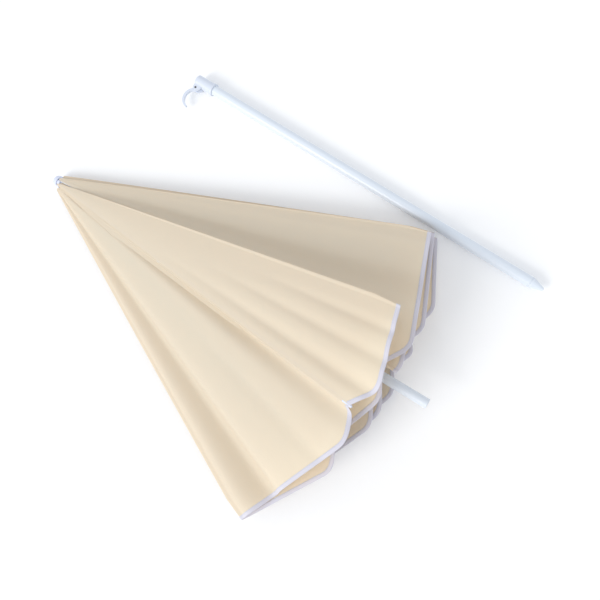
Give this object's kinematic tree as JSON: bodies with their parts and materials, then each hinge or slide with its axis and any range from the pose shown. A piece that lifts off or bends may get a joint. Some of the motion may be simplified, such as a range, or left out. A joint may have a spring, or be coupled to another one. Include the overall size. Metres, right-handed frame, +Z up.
{
  "type": "beach umbrella",
  "caption": "Folding beach umbrella in two halves, lying closed and unwrapped beside its lower pole; ribs, stretchers, runner and cloth gores open on joints.",
  "frame": {"origin": "centre of the bounding box on the floor, with both halves lying as stored", "axes": "+X along both poles, from the crown to the ground spike; +Z up; +Y toward the lower pole"},
  "size_m": [1.1606, 0.8162, 0.2262],
  "materials": {
    "cloth": "matt woven polyester",
    "white_tube": "smooth satin paint",
    "rib_steel": "satin paint",
    "white_plastic": "moulded",
    "grey_white_plastic": "moulded",
    "steel_wire": "drawn wire",
    "dark_pin": "turned"
  },
  "bodies": {
    "crown": {"upper_pole": "white_tube", "crown_hub": "white_plastic", "crown_wire": "steel_wire", "crown_plug": "white_plastic", "finial_cap": "white_plastic"},
    "runner": {"runner": "white_plastic"},
    "rib_1": {"rib_1": "rib_steel", "rib_tip_1": "white_plastic"},
    "stretcher_1": {"stretcher_1": "rib_steel"},
    "rib_2": {"rib_2": "rib_steel", "rib_tip_2": "white_plastic"},
    "stretcher_2": {"stretcher_2": "rib_steel"},
    "rib_3": {"rib_3": "rib_steel", "rib_tip_3": "white_plastic"},
    "stretcher_3": {"stretcher_3": "rib_steel"},
    "rib_4": {"rib_4": "rib_steel", "rib_tip_4": "white_plastic"},
    "stretcher_4": {"stretcher_4": "rib_steel"},
    "rib_5": {"rib_5": "rib_steel", "rib_tip_5": "white_plastic"},
    "stretcher_5": {"stretcher_5": "rib_steel"},
    "rib_6": {"rib_6": "rib_steel", "rib_tip_6": "white_plastic"},
    "stretcher_6": {"stretcher_6": "rib_steel"},
    "rib_7": {"rib_7": "rib_steel", "rib_tip_7": "white_plastic"},
    "stretcher_7": {"stretcher_7": "rib_steel"},
    "rib_8": {"rib_8": "rib_steel", "rib_tip_8": "white_plastic"},
    "stretcher_8": {"stretcher_8": "rib_steel"},
    "gore_1a": {"gore_1a": "cloth"},
    "gore_1b": {"gore_1b": "cloth"},
    "gore_1c": {"gore_1c": "cloth"},
    "gore_2a": {"gore_2a": "cloth"},
    "gore_2b": {"gore_2b": "cloth"},
    "gore_2c": {"gore_2c": "cloth"},
    "gore_3a": {"gore_3a": "cloth"},
    "gore_3b": {"gore_3b": "cloth"},
    "gore_3c": {"gore_3c": "cloth"},
    "gore_4a": {"gore_4a": "cloth"},
    "gore_4b": {"gore_4b": "cloth"},
    "gore_4c": {"gore_4c": "cloth"},
    "gore_5a": {"gore_5a": "cloth"},
    "gore_5b": {"gore_5b": "cloth"},
    "gore_6a": {"gore_6a": "cloth"},
    "gore_6b": {"gore_6b": "cloth"},
    "gore_7a": {"gore_7a": "cloth"},
    "gore_7b": {"gore_7b": "cloth"},
    "gore_8a": {"gore_8a": "cloth"},
    "gore_8b": {"gore_8b": "cloth"},
    "lower_half": {"lower_pole": "white_tube", "collar": "grey_white_plastic", "lever_pin": "dark_pin", "ground_spike": "white_tube"},
    "lever": {"lever": "grey_white_plastic"}
  },
  "joints": [
    {"name": "runner_slide", "type": "slide", "parent": "crown", "child": "runner", "axis": [-0.9957, -0.0609, -0.0698], "range_m": [0, 0.54143]},
    {"name": "rib_hinge_1", "type": "hinge", "parent": "crown", "child": "rib_1", "pos_m": [-0.56012, -0.02914, 0.02841], "axis": [0.0882, -0.8534, -0.5138], "range_deg": [0, 64.99]},
    {"name": "stretcher_hinge_1", "type": "hinge", "parent": "rib_1", "child": "stretcher_1", "pos_m": [-0.16695, -0.03284, 0.10206], "axis": [-0.0882, 0.8534, 0.5138], "range_deg": [0, 128.15]},
    {"name": "rib_hinge_2", "type": "hinge", "parent": "crown", "child": "rib_2", "pos_m": [-0.56087, -0.01857, 0.03], "axis": [0.0424, -0.9695, 0.2413], "range_deg": [0, 69.09]},
    {"name": "stretcher_hinge_2", "type": "hinge", "parent": "rib_2", "child": "stretcher_2", "pos_m": [-0.16545, 0.01175, 0.08234], "axis": [-0.0424, 0.9695, -0.2413], "range_deg": [0, 136.35]},
    {"name": "rib_hinge_3", "type": "hinge", "parent": "crown", "child": "rib_3", "pos_m": [-0.56095, -0.00994, 0.02364], "axis": [-0.0282, -0.5177, 0.8551], "range_deg": [0, 69.69]},
    {"name": "stretcher_hinge_3", "type": "hinge", "parent": "rib_3", "child": "stretcher_3", "pos_m": [-0.16507, 0.03241, 0.06236], "axis": [0.0282, 0.5177, -0.8551], "range_deg": [0, 137.55]},
    {"name": "rib_hinge_4", "type": "hinge", "parent": "crown", "child": "rib_4", "pos_m": [-0.56031, -0.00831, 0.01307], "axis": [-0.0823, 0.2373, 0.9679], "range_deg": [0, 67.09]},
    {"name": "stretcher_hinge_4", "type": "hinge", "parent": "rib_4", "child": "stretcher_4", "pos_m": [-0.16559, 0.05396, 0.03137], "axis": [0.0823, -0.2373, -0.9679], "range_deg": [0, 132.35]},
    {"name": "rib_hinge_5", "type": "hinge", "parent": "crown", "child": "rib_5", "pos_m": [-0.55932, -0.01464, 0.00447], "axis": [-0.0882, 0.8534, 0.5138], "range_deg": [0, 69.69]},
    {"name": "stretcher_hinge_5", "type": "hinge", "parent": "rib_5", "child": "stretcher_5", "pos_m": [-0.16098, 0.02062, 0.01427], "axis": [0.0882, -0.8534, -0.5138], "range_deg": [0, 137.55]},
    {"name": "rib_hinge_6", "type": "hinge", "parent": "crown", "child": "rib_6", "pos_m": [-0.55857, -0.02521, 0.00289], "axis": [-0.0424, 0.9695, -0.2413], "range_deg": [0, 72.19]},
    {"name": "stretcher_hinge_6", "type": "hinge", "parent": "rib_6", "child": "stretcher_6", "pos_m": [-0.15998, -0.00172, 0.02723], "axis": [0.0424, -0.9695, 0.2413], "range_deg": [0, 142.54]},
    {"name": "rib_hinge_7", "type": "hinge", "parent": "crown", "child": "rib_7", "pos_m": [-0.55849, -0.03383, 0.00925], "axis": [0.0282, 0.5177, -0.8551], "range_deg": [0, 71.29]},
    {"name": "stretcher_hinge_7", "type": "hinge", "parent": "rib_7", "child": "stretcher_7", "pos_m": [-0.15943, -0.01798, 0.03203], "axis": [-0.0282, -0.5177, 0.8551], "range_deg": [0, 140.74]},
    {"name": "rib_hinge_8", "type": "hinge", "parent": "crown", "child": "rib_8", "pos_m": [-0.55913, -0.03546, 0.01982], "axis": [0.0823, -0.2373, -0.9679], "range_deg": [0, 64.49]},
    {"name": "stretcher_hinge_8", "type": "hinge", "parent": "rib_8", "child": "stretcher_8", "pos_m": [-0.1625, -0.06685, 0.06125], "axis": [-0.0823, 0.2373, 0.9679], "range_deg": [0, 127.15]},
    {"name": "fold_1a", "type": "hinge", "parent": "rib_1", "child": "gore_1a", "pos_m": [-0.57586, -0.03047, 0.02794], "axis": [0.9812, -0.0145, 0.1925], "range_deg": [0, 22.38], "deforming": ["gore_1a"]},
    {"name": "fold_1b", "type": "hinge", "parent": "gore_1a", "child": "gore_1b", "pos_m": [-0.57586, -0.03047, 0.02794], "axis": [0.9557, 0.219, 0.1967], "range_deg": [0, 171.85], "deforming": ["gore_1b"]},
    {"name": "fold_1c", "type": "hinge", "parent": "gore_1b", "child": "gore_1c", "pos_m": [-0.57586, -0.03047, 0.02794], "axis": [-0.9846, 0.0995, -0.1435], "range_deg": [0, 169.64], "deforming": ["gore_1c"]},
    {"name": "fold_2a", "type": "hinge", "parent": "rib_2", "child": "gore_2a", "pos_m": [-0.57666, -0.01908, 0.0307], "axis": [-0.987, -0.0781, -0.1405], "range_deg": [0, 4.88], "deforming": ["gore_2a"]},
    {"name": "fold_2b", "type": "hinge", "parent": "gore_2a", "child": "gore_2b", "pos_m": [-0.57666, -0.01908, 0.0307], "axis": [0.9136, 0.405, 0.0375], "range_deg": [0, 176.41], "deforming": ["gore_2b"]},
    {"name": "fold_2c", "type": "hinge", "parent": "gore_2b", "child": "gore_2c", "pos_m": [-0.57666, -0.01908, 0.0307], "axis": [-0.9899, -0.0786, -0.1184], "range_deg": [0, 165.22], "deforming": ["gore_2c"]},
    {"name": "fold_3a", "type": "hinge", "parent": "rib_3", "child": "gore_3a", "pos_m": [-0.57674, -0.00917, 0.02358], "axis": [-0.9882, -0.1144, -0.1019], "range_deg": [0, 50.45], "deforming": ["gore_3a"]},
    {"name": "fold_3b", "type": "hinge", "parent": "gore_3a", "child": "gore_3b", "pos_m": [-0.57674, -0.00917, 0.02358], "axis": [0.915, 0.4031, 0.0149], "range_deg": [0, 178.38], "deforming": ["gore_3b"]},
    {"name": "fold_3c", "type": "hinge", "parent": "gore_3b", "child": "gore_3c", "pos_m": [-0.57674, -0.00917, 0.02358], "axis": [-0.9911, -0.089, -0.0993], "range_deg": [0, 152.7], "deforming": ["gore_3c"]},
    {"name": "fold_4a", "type": "hinge", "parent": "rib_4", "child": "gore_4a", "pos_m": [-0.57605, -0.00801, 0.01165], "axis": [-0.9853, -0.1653, -0.0433], "range_deg": [0, 99.48], "deforming": ["gore_4a"]},
    {"name": "fold_4b", "type": "hinge", "parent": "gore_4a", "child": "gore_4b", "pos_m": [-0.57605, -0.00801, 0.01165], "axis": [0.9174, 0.3979, -0.0077], "range_deg": [0, 167.83], "deforming": ["gore_4b"]},
    {"name": "fold_4c", "type": "hinge", "parent": "gore_4b", "child": "gore_4c", "pos_m": [-0.57605, -0.00801, 0.01165], "axis": [1, -0.0026, -0.0089], "range_deg": [0, 170.79], "deforming": ["gore_4c"]},
    {"name": "fold_5a", "type": "hinge", "parent": "rib_5", "child": "gore_5a", "pos_m": [-0.57488, -0.01455, 0.00165], "axis": [0.9955, 0.0933, 0.0159], "range_deg": [0, 21.95], "deforming": ["gore_5a"]},
    {"name": "fold_5b", "type": "hinge", "parent": "gore_5a", "child": "gore_5b", "pos_m": [-0.57488, -0.01455, 0.00165], "axis": [0.9539, -0.3001, -0.0001], "range_deg": [0, 174.25], "deforming": ["gore_5b"]},
    {"name": "fold_6a", "type": "hinge", "parent": "rib_6", "child": "gore_6a", "pos_m": [-0.57385, -0.0268, -0.00081], "axis": [-0.9971, -0.0563, -0.0512], "range_deg": [0, 27.13], "deforming": ["gore_6a"]},
    {"name": "fold_6b", "type": "hinge", "parent": "gore_6a", "child": "gore_6b", "pos_m": [-0.57385, -0.0268, -0.00081], "axis": [0.9449, -0.3272, 0.0051], "range_deg": [0, 177.99], "deforming": ["gore_6b"]},
    {"name": "fold_7a", "type": "hinge", "parent": "rib_7", "child": "gore_7a", "pos_m": [-0.57382, -0.03688, 0.0069], "axis": [-0.9982, -0.0311, -0.0518], "range_deg": [0, 70.32], "deforming": ["gore_7a"]},
    {"name": "fold_7b", "type": "hinge", "parent": "gore_7a", "child": "gore_7b", "pos_m": [-0.57382, -0.03688, 0.0069], "axis": [0.9228, -0.3849, 0.0138], "range_deg": [0, 166.12], "deforming": ["gore_7b"]},
    {"name": "fold_8a", "type": "hinge", "parent": "rib_8", "child": "gore_8a", "pos_m": [-0.57483, -0.037, 0.01886], "axis": [-0.9905, 0.0881, -0.1059], "range_deg": [0, 124.1], "deforming": ["gore_8a"]},
    {"name": "fold_8b", "type": "hinge", "parent": "gore_8a", "child": "gore_8b", "pos_m": [-0.57483, -0.037, 0.01886], "axis": [0.9205, -0.3899, 0.0241], "range_deg": [0, 169.61], "deforming": ["gore_8b"]},
    {"name": "lower_half_lift", "type": "slide", "parent": "crown", "child": "lower_half", "axis": [0, 0, 1], "range_m": [0, 0.3]},
    {"name": "lever_hinge", "type": "hinge", "parent": "lower_half", "child": "lever", "pos_m": [-0.39372, 0.37211, 0.016], "axis": [0, 0, 1], "range_deg": [0, 70]}
  ],
  "couplings": [
    {"joint": "rib_hinge_1", "follows": "runner_slide", "rad_per_m": 2.0946},
    {"joint": "stretcher_hinge_1", "follows": "runner_slide", "rad_per_m": 4.1307},
    {"joint": "rib_hinge_2", "follows": "runner_slide", "rad_per_m": 2.2268},
    {"joint": "stretcher_hinge_2", "follows": "runner_slide", "rad_per_m": 4.3949},
    {"joint": "rib_hinge_3", "follows": "runner_slide", "rad_per_m": 2.2461},
    {"joint": "stretcher_hinge_3", "follows": "runner_slide", "rad_per_m": 4.4335},
    {"joint": "rib_hinge_4", "follows": "runner_slide", "rad_per_m": 2.1623},
    {"joint": "stretcher_hinge_4", "follows": "runner_slide", "rad_per_m": 4.266},
    {"joint": "rib_hinge_5", "follows": "runner_slide", "rad_per_m": 2.2461},
    {"joint": "stretcher_hinge_5", "follows": "runner_slide", "rad_per_m": 4.4335},
    {"joint": "rib_hinge_6", "follows": "runner_slide", "rad_per_m": 2.3267},
    {"joint": "stretcher_hinge_6", "follows": "runner_slide", "rad_per_m": 4.5947},
    {"joint": "rib_hinge_7", "follows": "runner_slide", "rad_per_m": 2.2977},
    {"joint": "stretcher_hinge_7", "follows": "runner_slide", "rad_per_m": 4.5367},
    {"joint": "rib_hinge_8", "follows": "runner_slide", "rad_per_m": 2.0785},
    {"joint": "stretcher_hinge_8", "follows": "runner_slide", "rad_per_m": 4.0985},
    {"joint": "fold_1a", "follows": "runner_slide", "rad_per_m": 0.72121},
    {"joint": "fold_1b", "follows": "runner_slide", "rad_per_m": 5.5395},
    {"joint": "fold_1c", "follows": "runner_slide", "rad_per_m": 5.468},
    {"joint": "fold_2a", "follows": "runner_slide", "rad_per_m": 0.15714},
    {"joint": "fold_2b", "follows": "runner_slide", "rad_per_m": 5.6864},
    {"joint": "fold_2c", "follows": "runner_slide", "rad_per_m": 5.3255},
    {"joint": "fold_3a", "follows": "runner_slide", "rad_per_m": 1.6261},
    {"joint": "fold_3b", "follows": "runner_slide", "rad_per_m": 5.75},
    {"joint": "fold_3c", "follows": "runner_slide", "rad_per_m": 4.9221},
    {"joint": "fold_4a", "follows": "runner_slide", "rad_per_m": 3.2064},
    {"joint": "fold_4b", "follows": "runner_slide", "rad_per_m": 5.4098},
    {"joint": "fold_4c", "follows": "runner_slide", "rad_per_m": 5.5053},
    {"joint": "fold_5a", "follows": "runner_slide", "rad_per_m": 0.70734},
    {"joint": "fold_5b", "follows": "runner_slide", "rad_per_m": 5.6167},
    {"joint": "fold_6a", "follows": "runner_slide", "rad_per_m": 0.87425},
    {"joint": "fold_6b", "follows": "runner_slide", "rad_per_m": 5.7372},
    {"joint": "fold_7a", "follows": "runner_slide", "rad_per_m": 2.2663},
    {"joint": "fold_7b", "follows": "runner_slide", "rad_per_m": 5.3546},
    {"joint": "fold_8a", "follows": "runner_slide", "rad_per_m": 3.9999},
    {"joint": "fold_8b", "follows": "runner_slide", "rad_per_m": 5.4673}
  ]
}
